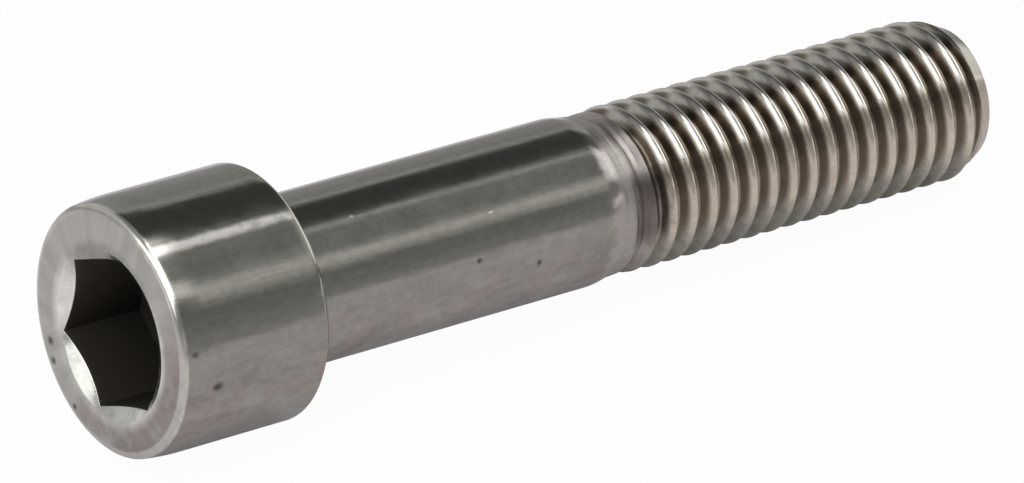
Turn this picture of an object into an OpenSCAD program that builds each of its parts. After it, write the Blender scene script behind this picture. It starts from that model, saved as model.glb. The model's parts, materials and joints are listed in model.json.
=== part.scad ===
// Hex socket cap screw, M12 x 60, lying on its side as it comes to rest.
// Everything is in millimetres. The screw's own axis runs along +Z in each
// module, with the bearing face under the head at z = 0, the head below it
// and the thread above. It is laid down once, at the end of this file.

/* [Thread] */
// Nominal diameter of the thread and the shank
thread_d = 12; // [8:0.5:14]
// Distance from one crest to the next
pitch = 1.75; // [1:0.05:2.5]
// Length of the full thread, back from the tip
thread_len = 28.5; // [15:0.5:40]
// Length over which the last turns fade out towards the shank
runout_len = 5.25; // [2:0.25:7]
// How far the first crests by the shank lie under the full ones
first_crest_drop = 0.2; // [0.05:0.05:0.5]
// How far the crests stay under the nominal diameter, both sides together
crest_allowance = 0.2; // [0:0.02:0.4]
// How far the edge of the screw's flat end lies inside the thread's root
tip_inset = 0.03; // [0:0.01:0.6]
// Length of the cone that leads the thread into a nut
tip_chamfer = 2; // [0.5:0.1:3]
// Turn of the thread about the screw's axis
thread_turn = 174; // [0:1:359]

/* [Shank] */
// Length under the head
screw_len = 60; // [45:1:120]
// How far the shank stays under the nominal diameter, both sides together
shank_allowance = 0; // [0:0.01:0.15]
// Radius in the corner between the shank and the head
neck_fillet = 0.6; // [0.2:0.1:1]

/* [Head] */
// Diameter of the head
head_d = 18; // [16.5:0.25:30]
// Height of the head
head_h = 12; // [9:0.25:20]
// Width of the rounded edge round the front face
front_edge = 0.65; // [0.2:0.05:1.5]
// How far back along the side that edge reaches
front_edge_depth = 0.38; // [0.2:0.02:1]
// How far the side draws in before that edge
front_draft = 0.12; // [0.05:0.01:0.4]
// Length of side over which it draws in
front_draft_len = 2.4; // [1:0.1:4]
// Bevel round the edge of the bearing face
rear_bevel = 0.35; // [0.1:0.05:0.6]

/* [Socket] */
// Size of the hexagon across its flats
socket_af = 10.1; // [6:0.1:12]
// Depth of the flats, from the front face
socket_depth = 6.5; // [4:0.1:7]
// Full angle of the drilled point below the flats
drill_angle = 120; // [100:2:160]
// Full angle of the countersink at the mouth
mouth_angle = 120; // [80:2:140]
// How far the countersink reaches past the hexagon's corners
mouth_margin = 0.36; // [0.1:0.02:0.9]
// Turn of the hexagon about the screw's axis
socket_turn = 10; // [0:1:59]
// How far the socket sits off the screw's axis, towards the floor
socket_offset = 0.25; // [0:0.05:0.5]
// Turn of the blank's seam, so that the screw doesn't lie on it
seam_turn = 2.4; // [0:0.1:30]

/* [Hidden] */

steel = [0.62, 0.61, 0.58];
eps = 0.01;

shank_r = (thread_d - shank_allowance) / 2;
head_r = head_d / 2;

// Thread form: 60 degree flanks, a narrow crest and a wider root
crest_r = (thread_d - crest_allowance) / 2;
root_r = thread_d / 2 - 0.6134 * pitch;
crest_w = 0.16 * pitch;
flank_w = (crest_r - root_r) * tan(30);
root_w = pitch - crest_w - 2 * flank_w;
tip_r = root_r - tip_inset;
thread_steps = 30;

// Where the thread starts, seen from the head
full_thread_z = screw_len - thread_len;
runout_z = full_thread_z - runout_len;
thread_foot_z = runout_z - pitch;

// Socket, measured across its corners and down from the front face
corner_r = socket_af / 2 / cos(30);
mouth_r = corner_r + mouth_margin;
mouth_depth = mouth_r / tan(mouth_angle / 2);
drill_r = socket_af / 2;
drill_depth = drill_r / tan(drill_angle / 2);

// Steps of the whole helix, which runs on past the end and is cut to length
cone_z = screw_len - tip_chamfer;
turns = ceil((screw_len - thread_foot_z) / pitch) + 1;
last_step = turns * thread_steps;

// The screw lies on the edge of its head, and dips until the first of the
// crests touches. Each step of the helix is counted where it reaches lowest:
// at the far side of its crest, at the edge of the end cone that cuts the
// crest, or where its rising flank runs into that cone.
cone_slope = (crest_r - tip_r) / tip_chamfer;
lie_tilt = min([for (step = [0 : last_step])
    let (
        a = 360 * step / thread_steps + thread_turn,
        crest_z = thread_foot_z + pitch * step / thread_steps + root_w + flank_w,
        low_z = crest_z <= cone_z
            ? min(crest_z + crest_w, cone_z)
            : (crest_z / tan(30) + cone_z * cone_slope) / (1 / tan(30) + cone_slope),
        low_r = crest_r - max(low_z - cone_z, 0) * cone_slope
    )
    if (low_z < screw_len)
        atan((head_r - low_r * cos(a)) / (low_z + rear_bevel))]);
lie_lift = head_r * cos(lie_tilt) - rear_bevel * sin(lie_tilt);

// Its two ends once it lies, so that the frame's origin is midway between them
face_r = head_r - front_draft - front_edge;
face_end_x = -face_r * sin(lie_tilt) - head_h * cos(lie_tilt);
tip_end_x = screw_len * cos(lie_tilt) + tip_r * sin(lie_tilt);
middle_x = (face_end_x + tip_end_x) / 2;

// Points of an arc about a centre, from one angle to another
function arc(centre, r, from, to, steps = 8) =
    [for (i = [0 : steps])
        let (a = from + (to - from) * i / steps)
        centre + r * [cos(a), sin(a)]];

// Side of the head near its front: the edge's flattened arc, then a long shallow one
function head_front() =
    let (
        r = (front_draft_len^2 + front_draft^2) / (2 * front_draft),
        sweep = asin(front_draft_len / r),
        z_side = -head_h + front_edge_depth + front_draft_len
    )
    concat(
        [for (a = [-90, -74, -58, -42, -26, -10])
            [face_r + front_edge * cos(a), -head_h + front_edge_depth * (1 + sin(a))]],
        arc([head_r - r, z_side], r, -sweep, 0, 5)
    );

// Head, shank and the cone at the end of the shank, as one turned form
module turned_blank() {
    rotate_extrude($fn = 96)
        polygon(concat(
            [[0, -head_h]],
            head_front(),
            [[head_r, -rear_bevel], [head_r - rear_bevel, 0]],
            arc([shank_r + neck_fillet, neck_fillet], neck_fillet, -90, -180, 5),
            [
                [shank_r, runout_z],
                [root_r - 0.15, full_thread_z + 0.3],
                [0, full_thread_z + 0.3]
            ]
        ));
}

// One turn's outline: root, rising flank, crest. The falling flank joins it
// to the next turn.
function thread_profile() = [
    [root_r, 0],
    [root_r, root_w],
    [crest_r, root_w + flank_w],
    [crest_r, root_w + flank_w + crest_w]
];

function thread_points() =
    let (profile = thread_profile())
    [for (step = [0 : last_step], p = profile)
        let (
            a = 360 * step / thread_steps,
            z = thread_foot_z + pitch * step / thread_steps + p[1]
        )
        [p[0] * cos(a), p[0] * sin(a), z]];

// Right-hand threaded rod as one closed skin, capped by a fan at each end
module threaded_rod() {
    foot_centre = 4 * (last_step + 1);
    top_centre = foot_centre + 1;
    centres = [
        [0, 0, thread_foot_z],
        [0, 0, thread_foot_z + pitch * turns + root_w + flank_w + crest_w]
    ];
    // Each point is named by its step round the helix and its place in the outline
    function at(step, k) = 4 * step + k;
    strip = [for (step = [0 : last_step - 1], k = [0 : 2])
        [at(step, k), at(step, k + 1), at(step + 1, k + 1), at(step + 1, k)]];
    falling_flank = [for (step = [0 : last_step - thread_steps - 1])
        [at(step, 3), at(step + thread_steps, 0), at(step + thread_steps + 1, 0), at(step + 1, 3)]];
    foot_fan = [for (step = [0 : thread_steps - 1]) [foot_centre, at(step, 0), at(step + 1, 0)]];
    foot_step = [
        [foot_centre, at(0, 1), at(0, 0)],
        [foot_centre, at(0, 2), at(0, 1)],
        [foot_centre, at(0, 3), at(0, 2)],
        [foot_centre, at(thread_steps, 0), at(0, 3)]
    ];
    top_first = last_step - thread_steps;
    top_fan = [for (step = [top_first : last_step - 1])
        [top_centre, at(step + 1, 3), at(step, 3)]];
    top_step = [
        [top_centre, at(top_first, 3), at(last_step, 0)],
        [top_centre, at(last_step, 0), at(last_step, 1)],
        [top_centre, at(last_step, 1), at(last_step, 2)],
        [top_centre, at(last_step, 2), at(last_step, 3)]
    ];
    quads = concat(strip, falling_flank);
    triangles = [for (q = quads, half = [0, 1])
        half == 0 ? [q[0], q[1], q[2]] : [q[0], q[2], q[3]]];
    polyhedron(
        concat(thread_points(), centres),
        concat(triangles, foot_fan, foot_step, top_fan, top_step),
        convexity = 20
    );
}

// The rod cut to length, with low first crests by the shank, and with the cone
// that leads it into a nut
module thread() {
    low_r = crest_r - first_crest_drop;
    low_end_z = runout_z + 1.7 * pitch;
    rise_len = 0.7 * pitch;
    intersection() {
        rotate(thread_turn) threaded_rod();
        rotate_extrude($fn = 96)
            polygon([
                [0, thread_foot_z + pitch],
                [low_r, thread_foot_z + pitch],
                [low_r, low_end_z],
                [crest_r + 1, low_end_z + rise_len * (1 + first_crest_drop) / first_crest_drop],
                [crest_r + 1, cone_z - tip_chamfer / (crest_r - tip_r)],
                [tip_r, screw_len],
                [0, screw_len]
            ]);
    }
}

// Hexagonal hole with its countersunk mouth and drilled point
module socket() {
    translate([socket_offset, 0, -head_h]) rotate(socket_turn) {
        translate([0, 0, -1]) cylinder(r = corner_r, h = socket_depth + 1, $fn = 6);
        translate([0, 0, socket_depth - eps])
            cylinder(r1 = drill_r, r2 = 0, h = drill_depth, $fn = 96);
        translate([0, 0, -eps])
            cylinder(r1 = mouth_r + eps * tan(mouth_angle / 2), r2 = 0, h = mouth_depth + eps, $fn = 96);
    }
}

module cap_screw() {
    color(steel)
        translate([-middle_x, 0, lie_lift])
            rotate([0, 90 + lie_tilt, 0])
                difference() {
                    union() {
                        rotate(seam_turn) turned_blank();
                        thread();
                    }
                    socket();
                }
}

cap_screw();
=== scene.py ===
import bpy, json, math
from mathutils import Matrix, Vector


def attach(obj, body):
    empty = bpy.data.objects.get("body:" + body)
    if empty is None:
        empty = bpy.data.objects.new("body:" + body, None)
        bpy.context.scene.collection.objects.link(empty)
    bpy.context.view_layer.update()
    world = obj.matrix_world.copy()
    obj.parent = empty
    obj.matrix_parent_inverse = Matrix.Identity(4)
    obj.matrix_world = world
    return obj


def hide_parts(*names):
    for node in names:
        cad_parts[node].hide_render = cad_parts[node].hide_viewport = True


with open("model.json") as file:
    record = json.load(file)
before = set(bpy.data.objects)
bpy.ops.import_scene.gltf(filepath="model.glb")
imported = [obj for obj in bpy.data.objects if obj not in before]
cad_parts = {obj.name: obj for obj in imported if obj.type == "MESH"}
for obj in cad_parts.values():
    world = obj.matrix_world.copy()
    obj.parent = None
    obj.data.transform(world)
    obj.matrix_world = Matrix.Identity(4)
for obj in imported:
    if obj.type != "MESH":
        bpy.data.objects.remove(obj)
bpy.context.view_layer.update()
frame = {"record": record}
print("frame loaded")


# The screw

screwSizes = {  # millimetres and degrees, along the screw from under its head
    "columns": 144,  # facets round the screw, a multiple of 6
    "headRadius": 9.0,
    "headHeight": 12.0,
    "frontEdge": 0.74,  # width of the rounded edge on the face
    "frontEdgeDepth": 0.38,
    "frontEdgeArc": (-90, -6),
    "frontDraft": 0.17,  # how far the side draws in before the front edge
    "frontDraftLength": 2.4,
    "rearBevel": 0.35,
    "bevelSoft": [(0.02, -0.04), (0.07, 0.04)],  # points that round its edges, inwards and along
    "bevelReach": 0.15,  # how far that rounding reaches
    "socketFlats": 10.1,
    "socketDepth": 6.5,
    "socketTurn": 10.0,  # where one corner of the hexagon points
    "socketOffset": 0.25,  # how far the socket sits off the axis, downwards
    "wallFoot": (0.12, 0.08),  # rounding at the foot of its walls, across and up
    "wallTop": (0.03, 0.05),  # and at their top
    "ledge": 0.01,  # least width of the ring round the drilled point
    "mouthMargin": 0.36,  # countersink past the corners
    "mouthSlope": 30.0,
    "mouthSoft": 0.15,  # how softly the countersink runs into the face
    "mouthReach": 0.30,
    "faceRim": 0.05,  # from the face's last ring to the front edge
    "drillSlope": 30.0,
    "shankRadius": 6.0,
    "neckFillet": 0.6,
    "length": 60.0,
    "pitch": 1.75,
    "flankSlope": 60.0,
    "crestRadius": 5.88,
    "crestRound": 0.35,  # radius of a crest's round top
    "rootRadius": 4.927,
    "rootSoft": 0.14,
    "crestHeight": 0.37,  # where a crest passes straight below the axis
    "fadeStart": 26.25,  # the shank starts to narrow into the thread
    "fadeSlope": 0.22,
    "fadeSoft": 0.12,
    "runOutSoft": 0.26,  # how softly the thread comes out of the shank
    "threadAhead": 0.5,  # the wound part of the skin starts this far before it narrows
    "lowCrest": 0.2,  # how far the first crests lie under the others
    "lowCrestEnd": 29.2,
    "fullCrestStart": 30.45,
    "crestCutSoft": 0.05,
    "tipCone": 2.0,
    "tipConeSoft": 0.08,
    "tipRadius": 4.897,
    "tipRim": 0.15,  # width of the outer ring on the flat end
    "tipMiddle": 0.4,  # radius of the innermost one
    "sharpAngle": 38.0,  # corners sharper than this stay sharp
    # where the thread's rows of points lie between a crest and the middle of a valley, in pitches
    "threadRows": [0, 0.035, 0.07, 0.10, 0.12, 0.17, 0.25, 0.33, 0.37, 0.40, 0.44],
    "steps": {"drill": 12, "walls": 12, "mouth": 9, "face": 6, "frontEdge": 12, "frontDraft": 8, "side": 14,
              "bearing": 4, "neck": 8, "shank": 30, "tip": 8},
    # where the zones that the material tells apart start and end
    "socketStep": 0.02,  # how sharply the socket's dark starts below the countersink
    "mouthOverlap": 0.1,
    "mouthFade": 0.7,  # how far the countersink's colour reaches onto the face
    "mouthDepth": 2.4,
    "faceDepth": 0.2,
    "fadedShank": 1.0,  # from where the shank starts to narrow to where valleys count
    "endGap": 0.001,
}


def mountPlace(name):
    for mount in frame["record"]["mounts"]:
        if mount["name"] == name:
            return Vector(mount["pos_m"])
    raise ValueError(name)


def screwPlace(sizes):  # millimetres on the screw to metres in the frame
    tip = mountPlace("thread")
    axis = (tip - mountPlace("head_side")).normalized()
    side = Vector((0, 1, 0))
    down = side.cross(axis)
    metres = 0.001
    underHead = tip - axis * sizes["length"] * metres
    turn = Matrix((down, side, axis)).transposed().to_4x4()
    return Matrix.Translation(underHead) @ turn @ Matrix.Scale(metres, 4)


def arcPoints(centre, radius, start, end, steps):
    points = []
    for i in range(steps + 1):
        a = math.radians(start + (end - start) * i / steps)
        points.append((centre[0] + radius * math.cos(a), centre[1] + radius * math.sin(a)))
    return points


def linePoints(start, end, steps):  # leaves out the first point
    return [(start[0] + (end[0] - start[0]) * i / steps, start[1] + (end[1] - start[1]) * i / steps)
            for i in range(1, steps + 1)]


def softMin(a, b, blend):
    h = max(blend - abs(a - b), 0.0) / blend
    return min(a, b) - h * h * blend / 4


def softMax(a, b, blend):
    return -softMin(-a, -b, blend)


def crestLimit(s, z):  # how high a crest may stand, from the run-out to the tip's cone
    rise = min(max((z - s["lowCrestEnd"]) / (s["fullCrestStart"] - s["lowCrestEnd"]), 0.0), 1.0)
    limit = s["crestRadius"] - s["lowCrest"] * (1 - rise)
    tipSlope = (s["crestRadius"] - s["tipRadius"]) / s["tipCone"]
    return softMin(limit, s["tipRadius"] + (s["length"] - z) * tipSlope, s["tipConeSoft"])


def threadRadius(s, turns, z):
    u = (z - s["crestHeight"]) / s["pitch"] - turns
    fromCrest = abs(u - round(u)) * s["pitch"]
    top, flank = s["crestRound"], math.radians(s["flankSlope"])
    if fromCrest < top * math.sin(flank):
        r = s["crestRadius"] - top + math.sqrt(top * top - fromCrest * fromCrest)
    else:
        r = s["crestRadius"] - top + top / math.cos(flank) - fromCrest * math.tan(flank)
    r = softMax(r, s["rootRadius"], s["rootSoft"])
    r = softMin(r, crestLimit(s, z), s["crestCutSoft"])
    fade = s["shankRadius"] - (z - s["fadeStart"]) * s["fadeSlope"]
    return softMax(r, softMin(s["shankRadius"], fade, s["fadeSoft"]), s["runOutSoft"])


def threadStartHeight(s):  # where a crest's line crosses the skin's first column, just before the run-out
    columnTurn = s["socketTurn"] / 360
    k = math.floor((s["fadeStart"] - s["threadAhead"] - s["crestHeight"]) / s["pitch"] - columnTurn)
    return s["crestHeight"] + s["pitch"] * (k + columnTurn)


def hexRadius(s, turns):
    a = (turns * 360 - s["socketTurn"]) % 60
    return s["socketFlats"] / 2 / math.cos(math.radians(a - 30))


def mouthRadius(s):
    return s["socketFlats"] / 2 / math.cos(math.radians(30)) + s["mouthMargin"]


def faceRadius(s):
    return s["headRadius"] - s["frontDraft"] - s["frontEdge"]


def headOutline(s, threadStart):  # from the face to the first turn of the thread
    headR, headH, steps = s["headRadius"], s["headHeight"], s["steps"]
    edge, deep, drawn = s["frontEdge"], s["frontEdgeDepth"], s["frontDraftLength"]
    drawR = (drawn ** 2 + s["frontDraft"] ** 2) / (2 * s["frontDraft"])
    sweep = math.degrees(math.asin(drawn / drawR))
    bevel, reach = s["rearBevel"], s["bevelReach"]
    neckR, fillet = s["shankRadius"] + s["neckFillet"], s["neckFillet"]
    corner = arcPoints((0, 0), 1, *s["frontEdgeArc"], steps["frontEdge"])
    points = [(faceRadius(s) + x * edge, -headH + deep * (1 + y)) for x, y in corner]
    points += arcPoints((headR - drawR, -headH + deep + drawn), drawR, -sweep, 0, steps["frontDraft"])[1:]
    points += linePoints(points[-1], (headR, -bevel - reach), steps["side"])
    points += [(headR - inwards, -bevel + along) for inwards, along in s["bevelSoft"]]
    points += [(headR - bevel + along, -inwards) for inwards, along in reversed(s["bevelSoft"])]
    points += linePoints((headR - bevel - reach, 0), (neckR, 0), steps["bearing"])
    points += arcPoints((neckR, fillet), fillet, -90, -180, steps["neck"])[1:]
    return points + linePoints(points[-1], (s["shankRadius"], threadStart), steps["shank"])


class Skin:  # points and faces, with the turn round the screw for each corner

    def __init__(self, sizes):
        self.sizes = sizes
        self.columns = sizes["columns"]
        self.points = []
        self.faces = []
        self.corners = []

    def turnsAt(self, column):
        return self.sizes["socketTurn"] / 360 + column / self.columns

    def addPoint(self, radius, column, z, shift=0.0):
        a = 2 * math.pi * self.turnsAt(column)
        self.points.append(Vector((radius * math.cos(a) + shift, radius * math.sin(a), z)))
        return len(self.points) - 1

    def addRing(self, radiusAt, heightAt, shift=0.0):
        turns = [self.turnsAt(c) for c in range(self.columns)]
        return [self.addPoint(radiusAt(t), c, heightAt(t), shift) for c, t in enumerate(turns)]

    def addFace(self, marks):  # marks: (point, column) pairs, doubled points dropped
        kept = []
        for mark in marks:
            if mark[0] not in [k[0] for k in kept]:
                kept.append(mark)
        if len(kept) > 2:
            self.faces.append([k[0] for k in kept])
            self.corners.append([k[1] / self.columns for k in kept])

    def joinRings(self, a, b):
        for c in range(self.columns):
            d = (c + 1) % self.columns
            self.addFace([(a[c], c), (a[d], c + 1), (b[d], c + 1), (b[c], c)])


def drillRings(skin, floorZ):  # the drilled point, and the ledge round it
    s, steps = skin.sizes, skin.sizes["steps"]["drill"]
    drillR, shift = s["socketFlats"] / 2, s["socketOffset"]
    drill = math.tan(math.radians(s["drillSlope"]))
    rings = []
    for i in range(1, steps + 1):
        r = drillR * i / steps
        z = floorZ + (drillR - r) * drill
        rings.append(skin.addRing(lambda t: r, lambda t: z, shift))
    footIn, ledgeR = s["wallFoot"][0], drillR + s["ledge"]
    rings.append(skin.addRing(lambda t: max(hexRadius(s, t) - footIn, ledgeR), lambda t: floorZ, shift))
    return rings


def socketRings(skin):  # from the drilled point out to the mouth, then across the face
    s, steps = skin.sizes, skin.sizes["steps"]
    headH, shift, mouth = s["headHeight"], s["socketOffset"], mouthRadius(s)
    slope = math.tan(math.radians(s["mouthSlope"]))
    floorZ = s["socketDepth"] - headH
    foot, (topIn, topDrop) = s["wallFoot"][1], s["wallTop"]
    reach, rim = s["mouthReach"], s["faceRim"]

    def wallHeight(turns, share):
        top = -headH + (mouth - hexRadius(s, turns)) * slope
        return floorZ - foot + (top + topDrop - floorZ + foot) * share

    def coneRadius(turns, share):
        return hexRadius(s, turns) + topIn + (mouth + reach - topIn - hexRadius(s, turns)) * share

    def coneHeight(turns, share):
        return -headH + softMax((mouth - coneRadius(turns, share)) * slope, 0, s["mouthSoft"])

    rings = drillRings(skin, floorZ)
    for i in range(steps["walls"] + 1):
        share = i / steps["walls"]
        rings.append(skin.addRing(lambda t: hexRadius(s, t), lambda t: wallHeight(t, share), shift))
    for i in range(steps["mouth"] + 1):
        share = i / steps["mouth"]
        rings.append(skin.addRing(lambda t: coneRadius(t, share), lambda t: coneHeight(t, share), shift))
    for i in range(1, steps["face"] + 1):
        share = i / steps["face"]
        faceSpot = mouth + reach + (faceRadius(s) - rim - reach - mouth) * share
        rings.append(skin.addRing(lambda t: faceSpot, lambda t: -headH, shift * (1 - share)))
    return rings


def threadStrip(skin, startRing, startZ):  # wound round the screw, its rows following the crests
    s, n = skin.sizes, skin.columns
    rows = s["threadRows"] + [0.5] + [1 - r for r in reversed(s["threadRows"])]
    rise = s["pitch"] / n
    last = math.ceil((s["length"] - startZ) / rise)
    tiny = 1e-9

    def edge(column):
        return min(max(startZ, startZ + rise * column), s["length"])

    strip = []
    for c in range(last + n + 1):
        bottom = startRing[c] if c < n else strip[c - n][-1]
        if c == n:
            bottom = startRing[0]
        low, high = edge(c - n), edge(c)
        if high - low < tiny:
            strip.append([bottom] * len(rows))
            continue
        column = [bottom]
        for row in rows[1:]:
            z = low + (high - low) * row
            column.append(skin.addPoint(threadRadius(s, skin.turnsAt(c), z), c, z))
        strip.append(column)
    for c in range(last + n):
        for k in range(len(rows) - 1):
            here, there = strip[c], strip[c + 1]
            skin.addFace([(here[k], c), (there[k], c + 1), (there[k + 1], c + 1), (here[k + 1], c)])
    ring = [strip[c][-1] for c in range(last, last + n)]
    return ring[-(last % n):] + ring[:-(last % n)] if last % n else ring


def tipRings(skin, end):  # across the flat end, from the end of the thread
    s = skin.sizes
    outer = (s["tipRadius"] - s["tipRim"], s["length"])
    rings = [end]
    for r, z in [outer] + linePoints(outer, (s["tipMiddle"], s["length"]), s["steps"]["tip"]):
        rings.append(skin.addRing(lambda t: r, lambda t: z))
    return rings


def clipped(value):
    return min(max(value, 0), 1)


def zoneColour(s, point):  # red: socket, green: the thread's valleys, blue: face, alpha: countersink
    r, z = math.hypot(point.x, point.y), point.z
    fromMouth = math.hypot(point.x - s["socketOffset"], point.y) - mouthRadius(s)
    underMouth = z + s["headHeight"] + fromMouth * math.tan(math.radians(s["mouthSlope"]))
    inside = fromMouth < -s["mouthOverlap"] and z < 0
    inSocket = clipped(underMouth / s["socketStep"] - 1) if inside else 0
    valley = (crestLimit(s, z) - r) / (s["crestRadius"] - s["rootRadius"])
    inThread = s["fadeStart"] + s["fadedShank"] < z < s["length"] - s["endGap"]
    inValley = clipped(valley) if inThread else 0
    onFace = 1 if z < s["faceDepth"] - s["headHeight"] and fromMouth > -s["mouthOverlap"] else 0
    pastMouth = max(fromMouth + s["mouthOverlap"], 0)
    inMouth = max(1 - pastMouth / s["mouthFade"], 0) if z < s["mouthDepth"] - s["headHeight"] else 0
    return inSocket, inValley, onFace, inMouth


def screwSkin(s):
    skin = Skin(s)
    threadStart = threadStartHeight(s)
    rings = socketRings(skin)
    drillDeep = s["socketFlats"] / 2 * math.tan(math.radians(s["drillSlope"]))
    apex = skin.addPoint(0, 0, s["socketDepth"] - s["headHeight"] + drillDeep, s["socketOffset"])
    for r, z in headOutline(s, threadStart):
        rings.append(skin.addRing(lambda t: r, lambda t: z))
    for c in range(skin.columns):
        skin.addFace([(apex, c), (rings[0][(c + 1) % skin.columns], c + 1), (rings[0][c], c)])
    for a, b in zip(rings, rings[1:]):
        skin.joinRings(a, b)
    flatEnd = tipRings(skin, threadStrip(skin, rings[-1], threadStart))
    for a, b in zip(flatEnd, flatEnd[1:]):
        skin.joinRings(a, b)
    centre = skin.addPoint(0, 0, s["length"])
    for c in range(skin.columns):
        skin.addFace([(flatEnd[-1][c], c), (flatEnd[-1][(c + 1) % skin.columns], c + 1), (centre, c)])
    return skin


def outlineUvs(skin):  # u runs along the outline, v round the screw
    acrossShare, scale = 0.37, 0.02
    uvs = []
    for face, turns in zip(skin.faces, skin.corners):
        for p, t in zip(face, turns):
            q = skin.points[p]
            uvs += [(q.z + math.hypot(q.x, q.y) * acrossShare) * scale, t]
    return uvs


def buildScrew(s):
    skin = screwSkin(s)
    mesh = bpy.data.meshes.new("screw")
    place = screwPlace(s)
    mesh.from_pydata([place @ p for p in skin.points], [], skin.faces)
    onScrew = mesh.attributes.new("onScrew", "FLOAT_VECTOR", "POINT")  # millimetres, for the materials
    onScrew.data.foreach_set("vector", [v for p in skin.points for v in p])
    zones = mesh.attributes.new("zones", "FLOAT_COLOR", "POINT")
    zones.data.foreach_set("color", [v for p in skin.points for v in zoneColour(s, p)])
    mesh.uv_layers.new(name="along").data.foreach_set("uv", outlineUvs(skin))
    mesh.polygons.foreach_set("use_smooth", [True] * len(mesh.polygons))
    mesh.set_sharp_from_angle(angle=math.radians(s["sharpAngle"]))
    mesh.update()
    screw = bpy.data.objects.new("screw", mesh)
    bpy.context.scene.collection.objects.link(screw)
    print("screw built:", len(mesh.vertices), "points,", len(mesh.polygons), "faces")
    return screw


screw = buildScrew(screwSizes)


# Steel

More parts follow.
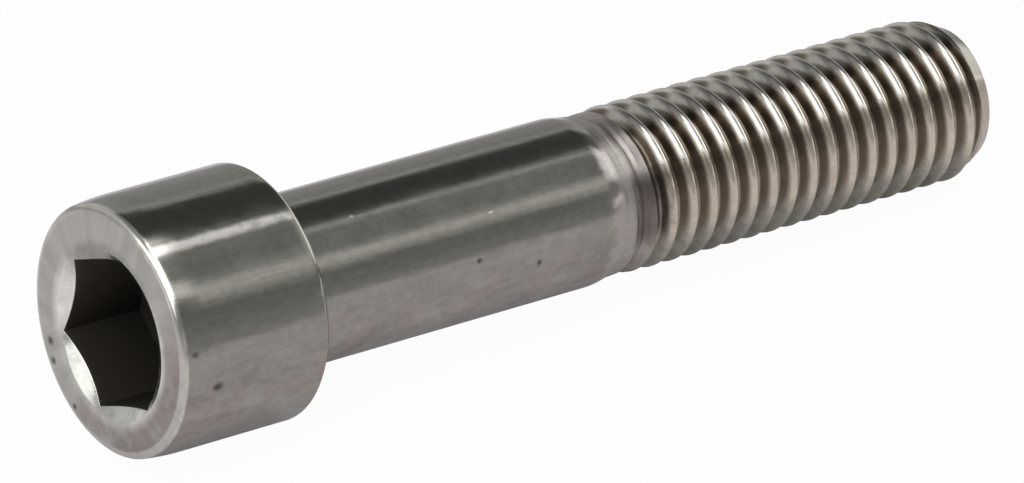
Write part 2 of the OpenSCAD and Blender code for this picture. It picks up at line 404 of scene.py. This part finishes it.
steelLook = {
    "side": (0.330, 0.316, 0.290),  # drawn sides of the head and the shank
    "stain": (0.312, 0.276, 0.265),
    "face": (0.505, 0.490, 0.465),  # the cleaner front face
    # darker in patches towards the face's lower right
    "faceDarker": (0.345, 0.302, 0.298),
    "mouthShade": (0.320, 0.310, 0.293),  # the countersink, with painted shade at the top and a painted highlight at its sides
    "mouthHighlight": (0.900, 0.878, 0.842),
    "mouth": (0.640, 0.625, 0.600),
    "edgeTopHighlight": (0.950, 0.925, 0.885),  # the rounded edge round the face, with a painted highlight towards the top
    "edge": (0.600, 0.580, 0.550),
    "flankBack": (0.520, 0.495, 0.455),
    "flank": (0.370, 0.340, 0.300),
    "crestBack": (0.430, 0.410, 0.390),  # dull along the top, then lighter and whiter as a painted highlight, yellowed lower down, dull below
    "crestHighlight": (0.690, 0.650, 0.625),
    "crestFront": (0.640, 0.563, 0.480),
    "under": (0.360, 0.345, 0.305),
    "tipTop": (0.230, 0.215, 0.195),  # the cone at the tip, never polished by a nut, darker along its top
    "tipFront": (0.480, 0.430, 0.375),
    "valleyShadeTop": (0.155, 0.128, 0.102),  # painted shade at the bottom of the thread, deepest towards the top
    "valleyShadeFront": (0.330, 0.280, 0.235),
    "runOut": (0.420, 0.385, 0.375),  # where the shank narrows, and the stained turn after it
    "runOutStain": (0.160, 0.132, 0.126),
    # painted shade inside the socket, lighter on its upper walls to even out how they are lit
    "socketShadeTop": (0.130, 0.112, 0.092),
    "socketShadeFront": (0.060, 0.051, 0.043),
    "oil": (0.035, 0.030, 0.028),  # in the pits
    "highlight": (0.950, 0.900, 0.870),  # a painted highlight along the head, and painted glints on the nicks
    "roughness": (0.14, 0.19),
    "runOutRoughness": 0.20,
    "threadRoughness": -0.16,
    "socketRoughness": 0.55,
    "anisotropy": 0.50,
    # millimetres along the screw, between which one finish gives way to the next
    "runOutEdge": (25.5, 26.5),
    "runOutDull": (26.5, 27.5),
    "stainStart": (27.8, 28.6),
    "stainEnd": (30.4, 31.6),
    "threadEdge": (29.4, 30.4),
    "threadShine": (29.5, 31.0),
    "tipEdge": (58.3, 58.6),
    "edgeDepth": (-11.75, -11.5),
    "highlightEnd": (-0.9, -0.3),
    # millimetres across it, out from the axis, towards the floor or towards the far side
    "edgeInner": (8.15, 8.40),
    "highlightInner": (8.0, 8.5),
    "tipFlat": (4.5, 4.8),
    "lowSide": (-3.0, 3.0),
    "lowerRight": (1.0, 9.0),
    "edgeHighlightAside": (-3.2, -1.0),
    "socketSide": (-3.5, 3.0),
    # round the screw, from -1 on top to 1 underneath
    "backTurn": (-0.995, -0.975),
    "yellowTurn": (-0.66, -0.56),
    "underTurn": (0.12, 0.50),
    "shadeStart": (-0.99, -0.955),
    "shadeEnd": (0.14, 0.45),
    "shadeFront": (-0.74, -0.35),
    "stainTop": (-0.70, -0.45),
    "stainUnder": (0.10, 0.50),
    "edgeHighlightTurn": (-0.60, -0.45),
    "mouthSideTurn": (-0.85, -0.20),
    "mouthUnderTurn": (0.20, 0.45),
    # from 0 on a crest to 1 in a valley
    "crestDepth": (0.10, 0.34),
    "shadeDepth": (0.22, 0.50),
    # millimetres from under the head, degrees round, distance from the axis, half length, half width
    "pits": [(-9.31, -83.9, 9.0, 0.40, 0.28), (-11.1, -101.6, 9.0, 0.26, 0.20),
             (-12.0, 62.8, 7.5, 0.30, 0.30), (-12.0, 52.7, 7.86, 0.30, 0.26), (-12.0, 27.0, 8.0, 0.30, 0.22),
             (14.5, -99.6, 6.0, 0.20, 0.18), (19.6, -86.0, 6.0, 0.16, 0.20)],
    "nicks": [(5.8, -152.0, 6.0, 0.16, 0.12), (16.2, -128.5, 6.0, 0.20, 0.08)],
    "markStrength": 0.80,
    "markFade": (0.2, 1.7),  # in half sizes from a mark's middle
    "nickShare": 0.7,
    "highlightAt": -149.7,  # degrees round
    "highlightWidth": (0.15, 0.60),
    "highlightWaver": 0.5,
    "waverNoise": (0.8, 2.0),
    "highlightLeast": 0.45,  # how bright it stays between its patches
    "patchNoise": (0.7, 3.0),
    "patchContrast": (0.30, 0.50),
    # noise is scale per millimetre, detail and roughness; contrast is where in the noise it starts and ends
    "mottle": (0.45, 5.0, 0.6),
    "sideMottle": (0.40, 0.60),
    "faceMottle": (0.30, 0.60),
    "roughMottle": (0.30, 0.70),
    "grime": (1.6, 4.0, 0.6),
    "grimeContrast": (0.35, 0.65),
    "grimeShades": (0.95, 1.06),
    "raggedBy": 1.2,  # how ragged the run-out's edge is, in millimetres
    "shadeBy": 0.2,
    "underShade": 0.12,  # how much of the painted shade stays underneath
    "stainShare": 0.85,
    # rays from the middle of the face outwards, how far they bend, and their darkest and lightest
    "rays": (5.0, 5.0, 0.0),
    "rayBend": 0.12,
    "rayNoise": (1.0, 3.0, 0.6),
    "rayContrast": (0.30, 0.70),
    "rayShades": (0.88, 1.10),
    # lines drawn along the sides, and clouds low down on them
    "lines": (4.0, 4.0, 0.30),
    "lineNoise": (1.0, 4.0, 0.6),
    "lineContrast": (0.30, 0.70),
    "lineShades": (0.95, 1.05),
    "clouds": (0.42, 0.42, 0.20),
    "cloudNoise": (1.0, 4.0, 0.65),
    "cloudContrast": (0.35, 0.65),
    "cloudBase": 1.03,
    "cloudDepth": 0.26,
    # unevenness of the surface
    "waves": (1.2, 1.2, 0.16),
    "waveNoise": (1.0, 4.0, 0.55),
    "waveHeight": 1.2,
    "specks": (3.0, 4.0, 0.6),
    "speckHeight": 0.3,
    "bump": 0.3,
    "bumpDistance": 0.00003,
}


class Nodes:  # short forms for building a node tree

    def __init__(self, tree):
        self.tree = tree

    def add(self, kind, inputs=None, **settings):
        node = self.tree.nodes.new(kind)
        for name, value in settings.items():
            setattr(node, name, value)
        for name, value in (inputs or {}).items():
            self.feed(node.inputs[name], value)
        return node

    def feed(self, socket, value):
        if isinstance(value, bpy.types.NodeSocket):
            self.tree.links.new(value, socket)
        else:
            socket.default_value = value

    def mixColour(self, factor, a, b):
        node = self.add("ShaderNodeMix", {0: factor}, data_type="RGBA")
        for socket, value in ((node.inputs[6], a), (node.inputs[7], b)):
            self.feed(socket, (*value, 1) if isinstance(value, tuple) else value)
        return node.outputs[2]

    def math(self, operation, a, b=0.0):
        return self.add("ShaderNodeMath", {0: a, 1: b}, operation=operation).outputs[0]

    def times(self, a, b):
        return self.math("MULTIPLY", a, b)

    def vector(self, operation, a, b=None, output="Vector"):
        inputs = {0: a} if b is None else {0: a, 1: b}
        return self.add("ShaderNodeVectorMath", inputs, operation=operation).outputs[output]

    def scaled(self, vector, factor):
        inputs = {0: vector, "Scale": factor}
        return self.add("ShaderNodeVectorMath", inputs, operation="SCALE").outputs["Vector"]

    def stretched(self, vector, scales):
        return self.add("ShaderNodeMapping", {"Vector": vector, "Scale": scales}).outputs["Vector"]

    def ramp(self, value, low, high, atLow=0.0, atHigh=1.0):
        inputs = {"Value": value, "From Min": low, "From Max": high, "To Min": atLow, "To Max": atHigh}
        return self.add("ShaderNodeMapRange", inputs, interpolation_type="SMOOTHSTEP").outputs["Result"]

    def noise(self, vector, scale, detail=3.0, roughness=0.5):
        inputs = {"Vector": vector, "Scale": scale, "Detail": detail, "Roughness": roughness}
        return self.add("ShaderNodeTexNoise", inputs).outputs["Fac"]


class SteelPlace:  # where a spot on the screw is, and how dirty it is there

    def __init__(self, n, look):
        self.spot = n.add("ShaderNodeAttribute", attribute_name="onScrew").outputs["Vector"]
        zoneMap = n.add("ShaderNodeAttribute", attribute_name="zones").outputs
        self.inMouth = zoneMap["Alpha"]
        marked = n.add("ShaderNodeSeparateColor", {"Color": zoneMap["Color"]}).outputs
        self.inSocket, self.inValley, self.onFace = marked
        self.towardsFloor, self.aside, self.z = n.add("ShaderNodeSeparateXYZ", {0: self.spot}).outputs
        self.outward = n.vector("MULTIPLY", self.spot, (1, 1, 0))
        self.radius = n.vector("LENGTH", self.outward, output="Value")
        nonZero = n.math("MAXIMUM", self.radius, 0.1)
        self.down = n.math("DIVIDE", self.towardsFloor, nonZero)  # -1 on top, 1 underneath
        self.mottle = n.noise(self.spot, *look["mottle"])
        self.grime = n.noise(self.spot, *look["grime"])
        self.ragged = n.math("ADD", self.z, n.times(n.math("SUBTRACT", self.grime, 0.5), look["raggedBy"]))
        self.lowSide = n.ramp(self.towardsFloor, *look["lowSide"])


def sideColour(n, at, look):  # drawn sides, more stained low down, and the end of the shank
    darkened = n.times(n.ramp(at.mottle, *look["sideMottle"]), at.lowSide)
    colour = n.mixColour(darkened, look["side"], look["stain"])
    return n.mixColour(n.ramp(at.ragged, *look["runOutEdge"]), colour, look["runOut"])


def threadColour(n, at, look):  # crests and flanks, and the cone at the tip
    onCrest = n.ramp(at.inValley, *look["crestDepth"], 1.0, 0.0)
    onTop = n.ramp(at.down, *look["backTurn"], 1.0, 0.0)
    # a painted highlight on the upper crests, yellowed lower down
    crest = n.mixColour(n.ramp(at.down, *look["yellowTurn"]), look["crestHighlight"], look["crestFront"])
    crest = n.mixColour(onTop, crest, look["crestBack"])
    flank = n.mixColour(onTop, look["flank"], look["flankBack"])
    thread = n.mixColour(onCrest, flank, crest)
    thread = n.mixColour(n.ramp(at.down, *look["underTurn"]), thread, look["under"])
    tip = n.mixColour(n.ramp(at.down, *look["yellowTurn"]), look["tipTop"], look["tipFront"])
    tip = n.mixColour(n.ramp(at.radius, *look["tipFlat"]), look["tipFront"], tip)
    return n.mixColour(n.ramp(at.z, *look["tipEdge"]), thread, tip)


def valleyShadeColour(n, at, look, colour):  # painted shade in the valleys, and the stained first turn
    valleyShade = n.ramp(n.math("ADD", at.inValley, n.times(at.grime, look["shadeBy"])), *look["shadeDepth"])
    valleyShade = n.times(valleyShade, n.ramp(at.down, *look["shadeStart"]))
    valleyShade = n.times(valleyShade, n.ramp(at.down, *look["shadeEnd"], 1.0, look["underShade"]))
    # painted shade at the bottom of the thread, darkest towards the top, less underneath
    valley = n.mixColour(n.ramp(at.down, *look["shadeFront"]), look["valleyShadeTop"], look["valleyShadeFront"])
    colour = n.mixColour(valleyShade, colour, valley)
    along = n.ramp(at.ragged, *look["stainStart"])
    along = n.times(along, n.ramp(at.ragged, *look["stainEnd"], 1.0, 0.0))
    around = n.ramp(at.down, *look["stainTop"])
    around = n.times(around, n.ramp(at.down, *look["stainUnder"], 1.0, 0.0))
    darkened = n.times(n.times(along, around), look["stainShare"])
    return n.mixColour(darkened, colour, look["runOutStain"])


def faceColour(n, at, look, colour):  # the front face, darker in patches at its lower right, a painted highlight on its rounded edge, and its countersink with painted shade and a painted highlight
    lowerRight = n.ramp(n.math("SUBTRACT", at.towardsFloor, at.aside), *look["lowerRight"])
    # darker in mottled patches towards the lower right
    darkened = n.times(lowerRight, n.ramp(at.mottle, *look["faceMottle"]))
    colour = n.mixColour(at.onFace, colour, n.mixColour(darkened, look["face"], look["faceDarker"]))
    onEdge = n.times(n.ramp(at.radius, *look["edgeInner"]), n.ramp(at.z, *look["edgeDepth"], 1.0, 0.0))
    # a painted highlight on the upper part of the rounded edge, towards one side
    edgeHighlight = n.ramp(at.down, *look["edgeHighlightTurn"], 1.0, 0.0)
    edgeHighlight = n.times(edgeHighlight, n.ramp(at.aside, *look["edgeHighlightAside"], 1.0, 0.0))
    colour = n.mixColour(onEdge, colour, n.mixColour(edgeHighlight, look["edge"], look["edgeTopHighlight"]))
    # painted shade on the countersink's top, a painted highlight at its sides
    mouth = n.mixColour(n.ramp(at.down, *look["mouthSideTurn"]), look["mouthShade"], look["mouthHighlight"])
    mouth = n.mixColour(n.ramp(at.down, *look["mouthUnderTurn"]), mouth, look["mouth"])
    return n.mixColour(at.inMouth, colour, mouth)


def grainShade(n, at, look):  # how bright the grain is: rays on the face, lines and clouds elsewhere
    rays = n.stretched(n.vector("NORMALIZE", at.outward), look["rays"])
    rays = n.vector("ADD", rays, n.times(at.radius, look["rayBend"]))
    rays = n.ramp(n.noise(rays, *look["rayNoise"]), *look["rayContrast"], *look["rayShades"])
    lines = n.noise(n.stretched(at.spot, look["lines"]), *look["lineNoise"])
    lines = n.ramp(lines, *look["lineContrast"], *look["lineShades"])
    lines = n.times(lines, n.ramp(at.grime, *look["grimeContrast"], *look["grimeShades"]))
    clouds = n.noise(n.stretched(at.spot, look["clouds"]), *look["cloudNoise"])
    clouds = n.times(n.math("SUBTRACT", n.ramp(clouds, *look["cloudContrast"]), 0.5), at.lowSide)
    lines = n.times(lines, n.math("ADD", look["cloudBase"], n.times(clouds, look["cloudDepth"])))
    offFace = n.math("SUBTRACT", 1.0, at.onFace)
    return n.math("ADD", n.times(rays, at.onFace), n.times(lines, offFace))


def marksFactor(n, at, look, marks):  # high on the small marks, 0 elsewhere
    total = 0.0
    for z, angle, radius, halfLength, halfWidth in marks:
        a = math.radians(angle)
        away = n.vector("SUBTRACT", at.spot, (radius * math.cos(a), radius * math.sin(a), z))
        halves = n.vector("DIVIDE", away, (halfWidth, halfWidth, halfLength))
        share = n.vector("LENGTH", halves, output="Value")
        total = n.math("MAXIMUM", total, n.ramp(share, *look["markFade"], look["markStrength"], 0.0))
    return total


def highlightLine(n, at, look):  # 1 along a wavering line on the head's side, 0 elsewhere: a painted highlight
    a = math.radians(look["highlightAt"])
    across = n.vector("DOT_PRODUCT", at.spot, (-math.sin(a), math.cos(a), 0), "Value")
    waver = n.noise(at.spot, *look["waverNoise"])
    waver = n.times(n.math("SUBTRACT", waver, 0.5), look["highlightWaver"])
    aside = n.math("ABSOLUTE", n.math("ADD", across, waver))
    outward = n.vector("DOT_PRODUCT", at.spot, (math.cos(a), math.sin(a), 0), "Value")
    onHead = n.ramp(outward, *look["highlightInner"])
    patchy = n.noise(at.spot, *look["patchNoise"])
    patchy = n.ramp(patchy, *look["patchContrast"], look["highlightLeast"], 1.0)
    line = n.times(n.ramp(aside, *look["highlightWidth"], 1.0, 0.0), n.times(onHead, patchy))
    return n.times(line, n.ramp(at.z, *look["highlightEnd"], 1.0, 0.0))


def steelColour(n, at, look, pitted):
    colour = sideColour(n, at, look)
    colour = n.mixColour(n.ramp(at.z, *look["threadEdge"]), colour, threadColour(n, at, look))
    colour = valleyShadeColour(n, at, look, colour)
    colour = faceColour(n, at, look, colour)
    colour = n.scaled(colour, grainShade(n, at, look))
    # the socket painted dark as shade, lighter on its upper walls
    lowInSocket = n.ramp(at.towardsFloor, *look["socketSide"])
    socket = n.mixColour(lowInSocket, look["socketShadeTop"], look["socketShadeFront"])
    colour = n.mixColour(at.inSocket, colour, socket)
    # a painted highlight along the head, then painted glints on the nicks
    colour = n.mixColour(highlightLine(n, at, look), colour, look["highlight"])
    nicked = marksFactor(n, at, look, look["nicks"])
    colour = n.mixColour(n.times(nicked, look["nickShare"]), colour, look["highlight"])
    return n.mixColour(pitted, colour, look["oil"])


def steelRoughness(n, at, look):
    rough = n.ramp(at.mottle, *look["roughMottle"], *look["roughness"])
    runOut = n.ramp(at.z, *look["runOutDull"], 0.0, look["runOutRoughness"])
    thread = n.ramp(at.z, *look["threadShine"], 0.0, look["threadRoughness"])
    rough = n.math("ADD", rough, n.math("ADD", runOut, thread))
    return n.math("ADD", rough, n.times(at.inSocket, look["socketRoughness"]))


def steelNormal(n, at, look, pitted):
    waves = n.noise(n.stretched(at.spot, look["waves"]), *look["waveNoise"])
    specks = n.noise(at.spot, *look["specks"])
    height = n.math("ADD", n.times(waves, look["waveHeight"]), n.times(specks, look["speckHeight"]))
    height = n.math("SUBTRACT", height, pitted)
    inputs = {"Strength": look["bump"], "Distance": look["bumpDistance"], "Height": height}
    return n.add("ShaderNodeBump", inputs).outputs["Normal"]


def steelMaterial(look):
    material = bpy.data.materials.new("steel")
    material.use_nodes = True
    n = Nodes(material.node_tree)
    at = SteelPlace(n, look)
    pitted = marksFactor(n, at, look, look["pits"])
    tangent = n.add("ShaderNodeTangent", direction_type="UV_MAP", uv_map="along")
    shader = material.node_tree.nodes["Principled BSDF"].inputs
    n.feed(shader["Metallic"], 1.0)
    n.feed(shader["Anisotropic"], look["anisotropy"])
    n.feed(shader["Tangent"], tangent.outputs["Tangent"])
    n.feed(shader["Base Color"], steelColour(n, at, look, pitted))
    n.feed(shader["Roughness"], steelRoughness(n, at, look))
    n.feed(shader["Normal"], steelNormal(n, at, look, pitted))
    return material


screw.data.materials.append(steelMaterial(steelLook))
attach(screw, "root")
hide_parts("cap_screw")
print("steel done")


# Studio

studio = {
    "floorSize": 3.0,
    "floorColour": (0.80, 0.778, 0.812),
    "floorGlow": 0.970,  # how much of its white is its own, so that shadows stay faint
    "floorGlowInMetal": 0.12,
    "floorFade": (0.05, 0.19),  # metres from the middle over which its mirror image dims
    "floorFar": 0.54,
    "aimFromHead": (0.02107, -0.00082, -0.00248),  # metres from the centre under the head
    "azimuth": -126.65,
    "elevation": 27.65,
    "distance": 0.7147,
    "lens": 366.0,
    "sensor": 36.0,
    "clipEnd": 20.0,
    "roomTint": (0.99, 1.0, 0.965),
    # the room's greys, by the angle about the screw: 0 level in front, 90 overhead, 180 level behind
    "rooms": [
        [(0, 0.3), (40, 0.3), (60, 1.4), (180, 1.4)],  # straight beyond the head
        [(0, 0.50), (14, 0.36), (22, 0.22), (41, 0.22), (48, 1.5), (52, 1.7), (60, 2.1), (93, 2.1),
         (98, 0.2), (138, 0.25), (143, 0.55), (180, 0.6)],  # at the head's end
        [(0, 0.42), (14, 0.32), (30, 0.26), (38, 0.30), (44, 1.4), (50, 1.4), (57, 0.40), (76, 0.45),
         (88, 1.8), (96, 1.8), (101, 0.1), (137, 0.1), (141, 0.55), (180, 0.5)],  # from there to the middle
        [(0, 0.40), (8, 0.33), (20, 0.28), (27, 0.28), (34, 0.64), (40, 0.86), (45, 0.80), (51, 0.38),
         (60, 0.28), (84, 0.31), (86, 0.42), (89, 0.62), (91, 0.62), (94, 0.22), (101, 0.08), (136, 0.08),
         (140, 0.54), (144, 0.60), (148, 0.40), (180, 0.40)],  # across the middle
        [(0, 1.1), (8, 1.0), (15, 0.28), (39, 0.28), (47, 1.2), (98, 1.5), (104, 0.12), (136, 0.15),
         (141, 0.55), (180, 0.5)],  # at the tip's end
        [(0, 2.2), (8, 1.9), (14, 0.25), (40, 0.25), (47, 1.5), (52, 2.0), (180, 2.0)],  # beyond the tip
    ],
    # where each of them gives way to the next, as shares of the way tipwards
    "walls": [(-0.86, -0.78), (0.12, 0.22), (0.40, 0.50), (0.66, 0.76), (0.84, 0.92)],
}


def stagePlane(name, size):
    mesh = bpy.data.meshes.new(name)
    h = size / 2
    mesh.from_pydata([(-h, -h, 0), (h, -h, 0), (h, h, 0), (-h, h, 0)], [], [(0, 1, 2, 3)])
    obj = bpy.data.objects.new(name, mesh)
    bpy.context.scene.collection.objects.link(obj)
    return obj


def floorMaterial(look):
    material = bpy.data.materials.new("floor")
    material.use_nodes = True
    n = Nodes(material.node_tree)
    path = n.add("ShaderNodeLightPath").outputs
    mirrored = n.math("MAXIMUM", path["Is Glossy Ray"], path["Is Transmission Ray"])
    seen = n.times(path["Is Camera Ray"], look["floorGlow"])
    glowing = n.math("MAXIMUM", n.times(mirrored, look["floorGlowInMetal"]), seen)
    place = n.add("ShaderNodeNewGeometry").outputs["Position"]
    fade = n.ramp(n.vector("LENGTH", place, output="Value"), *look["floorFade"], 1.0, look["floorFar"])
    fade = n.math("MAXIMUM", fade, path["Is Camera Ray"])
    lit = n.add("ShaderNodeBsdfDiffuse", {"Color": n.scaled(look["floorColour"], fade)})
    glow = n.add("ShaderNodeEmission", {"Color": (1, 1, 1, 1), "Strength": fade})
    mix = n.add("ShaderNodeMixShader", {0: glowing, 1: lit.outputs[0], 2: glow.outputs[0]})
    n.feed(material.node_tree.nodes["Material Output"].inputs["Surface"], mix.outputs[0])
    return material


def bandRamp(n, share, bands, tint):
    halfTurn = 180
    node = n.add("ShaderNodeValToRGB", {"Fac": share})
    stops = node.color_ramp.elements
    for band in bands[1:-1]:
        stops.new(band[0] / halfTurn)
    for stop, (angle, grey) in zip(stops, bands):
        stop.position = angle / halfTurn
        stop.color = (*[grey * t for t in tint], 1)
    return node.outputs["Color"]


def studioWorld(look):
    world = bpy.data.worlds.new("studio")
    world.use_nodes = True
    n = Nodes(world.node_tree)
    way = n.add("ShaderNodeSeparateXYZ", {0: n.add("ShaderNodeTexCoord").outputs["Generated"]})
    tipwards, behind, up = way.outputs
    share = n.math("DIVIDE", n.math("ARCTAN2", up, n.times(behind, -1.0)), math.pi)
    grey = bandRamp(n, share, look["rooms"][0], look["roomTint"])
    for room, wall in zip(look["rooms"][1:], look["walls"]):
        grey = n.mixColour(n.ramp(tipwards, *wall), grey, bandRamp(n, share, room, look["roomTint"]))
    n.feed(world.node_tree.nodes["Background"].inputs["Color"], grey)
    return world


def studioCamera(look):
    camera = bpy.data.objects.new("camera", bpy.data.cameras.new("camera"))
    camera.data.lens = look["lens"]
    camera.data.sensor_width = look["sensor"]
    camera.data.clip_end = look["clipEnd"]
    a, e = math.radians(look["azimuth"]), math.radians(look["elevation"])
    outward = Vector((math.cos(e) * math.cos(a), math.cos(e) * math.sin(a), math.sin(e)))
    underHead = screwPlace(screwSizes).translation
    camera.location = underHead + Vector(look["aimFromHead"]) + outward * look["distance"]
    camera.rotation_euler = outward.to_track_quat("Z", "Y").to_euler()
    bpy.context.scene.collection.objects.link(camera)
    bpy.context.scene.camera = camera


floor = stagePlane("floor", studio["floorSize"])
floor.data.materials.append(floorMaterial(studio))
studioCamera(studio)
bpy.context.scene.world = studioWorld(studio)
bpy.context.scene.view_settings.view_transform = "Standard"
print("studio done")
